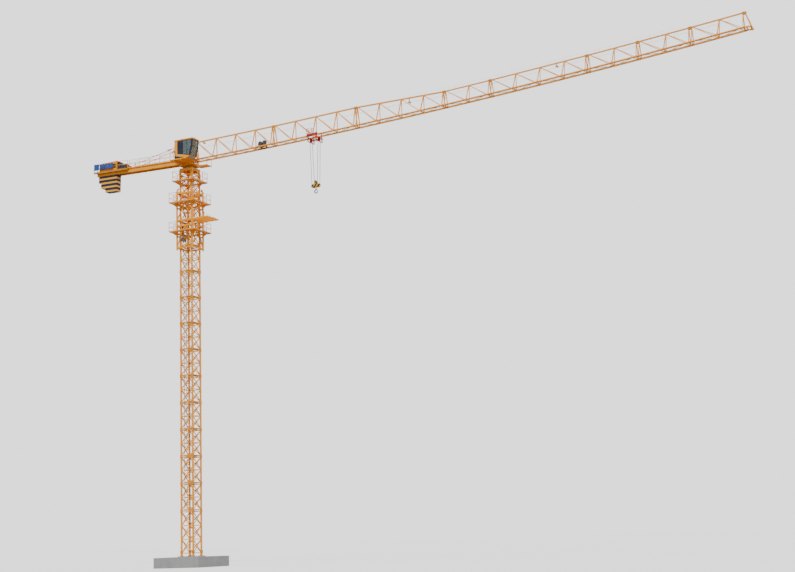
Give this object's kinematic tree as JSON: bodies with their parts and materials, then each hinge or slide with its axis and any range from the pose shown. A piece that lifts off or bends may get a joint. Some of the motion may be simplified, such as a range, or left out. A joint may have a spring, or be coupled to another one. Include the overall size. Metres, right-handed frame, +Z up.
{
  "type": "flat-top tower crane, half-size scale model",
  "caption": "Flat-top tower crane on a concrete block: lattice mast, climbing cage, cab, cambered trussed jib with trolley and hook, counter-jib with slabs.",
  "frame": {"origin": "middle of the foundation block's underside", "axes": "+X along the jib at rest, +Z up, +Y to the left of the jib as the operator sees it"},
  "size_m": [36.7599, 2.76, 23.8226],
  "materials": {
    "crane_paint": "satin orange-yellow paint",
    "concrete": "cast concrete",
    "plate_paint": "worn brown-orange paint",
    "feet_paint": "blue-grey paint",
    "galvanised": "galvanised",
    "cylinder_steel": "ground steel",
    "machine_grey": "dark grey paint",
    "cab_glass": "tinted glass",
    "seat_fabric": "woven",
    "red_paint": "red paint",
    "sign_paint": "blue paint, blank",
    "slab_paint": "black and yellow bands on concrete",
    "basket_paint": "faded red paint",
    "rope_steel": "greased wire rope",
    "block_paint": "black and yellow bands",
    "hook_steel": "forged"
  },
  "bodies": {
    "crane_base": {"foundation_block": "concrete", "fixing_feet": "feet_paint", "base_section": "crane_paint", "mast_sections_lower": "crane_paint", "mast_sections_middle": "crane_paint", "mast_sections_upper": "crane_paint", "mast_head_section": "crane_paint", "mast_ladders": "galvanised", "rest_platforms": "plate_paint", "mast_top_platform": "crane_paint", "climbing_cage": "crane_paint", "cage_upper_platform": "crane_paint", "cage_lower_platform": "crane_paint", "introduction_rails": "crane_paint", "climbing_cylinder": "cylinder_steel", "lower_support": "crane_paint", "slewing_ring": "machine_grey"},
    "upper_crane": {"turntable": "crane_paint", "tower_head": "crane_paint", "slewing_motors": "machine_grey", "cab_platform": "crane_paint", "cab_shell": "crane_paint", "cab_glass": "cab_glass", "operator_seat": "seat_fabric", "ring_access_platform": "crane_paint", "jib_section_1": "crane_paint", "jib_section_2": "crane_paint", "jib_section_3": "crane_paint", "jib_section_4": "crane_paint", "jib_section_5": "crane_paint", "jib_section_6": "crane_paint", "jib_section_7": "crane_paint", "jib_section_8": "crane_paint", "jib_tip": "crane_paint", "trolley_winch": "machine_grey", "counter_jib": "crane_paint", "counter_jib_deck": "crane_paint", "counter_jib_railings": "crane_paint", "tie_rods": "red_paint", "hoist_winch": "machine_grey", "winch_hood": "crane_paint", "sign_board": "sign_paint", "counterweights": "slab_paint"},
    "trolley": {"trolley_frame": "red_paint", "trolley_wheels": "machine_grey", "trolley_sheaves": "machine_grey", "service_basket": "basket_paint"},
    "falls": {"rope_falls": "rope_steel"},
    "hook_block": {"hook_block": "block_paint"},
    "hook": {"hook": "hook_steel"}
  },
  "joints": [
    {"name": "slew", "type": "hinge", "parent": "crane_base", "child": "upper_crane", "pos_m": [0, 0, 21.2], "axis": [0, 0, 1], "continuous": true},
    {"name": "trolley_travel", "type": "hinge", "parent": "upper_crane", "child": "trolley", "pos_m": [-4.8, 0, 431.5213], "axis": [0, -1, 0], "range_deg": [-0.8, 3.02]},
    {"name": "falls_plumb", "type": "hinge", "parent": "trolley", "child": "falls", "pos_m": [7.85, 0, 21.4865], "axis": [0, -1, 0], "range_deg": [-4, 4]},
    {"name": "hook_hoist", "type": "slide", "parent": "falls", "child": "hook_block", "axis": [0, 0, 1], "range_m": [0, 1.6], "deforming": ["rope_falls"]},
    {"name": "hook_swivel", "type": "hinge", "parent": "hook_block", "child": "hook", "pos_m": [7.85, 0, 18.9815], "axis": [0, 0, 1], "continuous": true}
  ],
  "couplings": [
    {"joint": "falls_plumb", "follows": "trolley_travel", "ratio": -1}
  ]
}
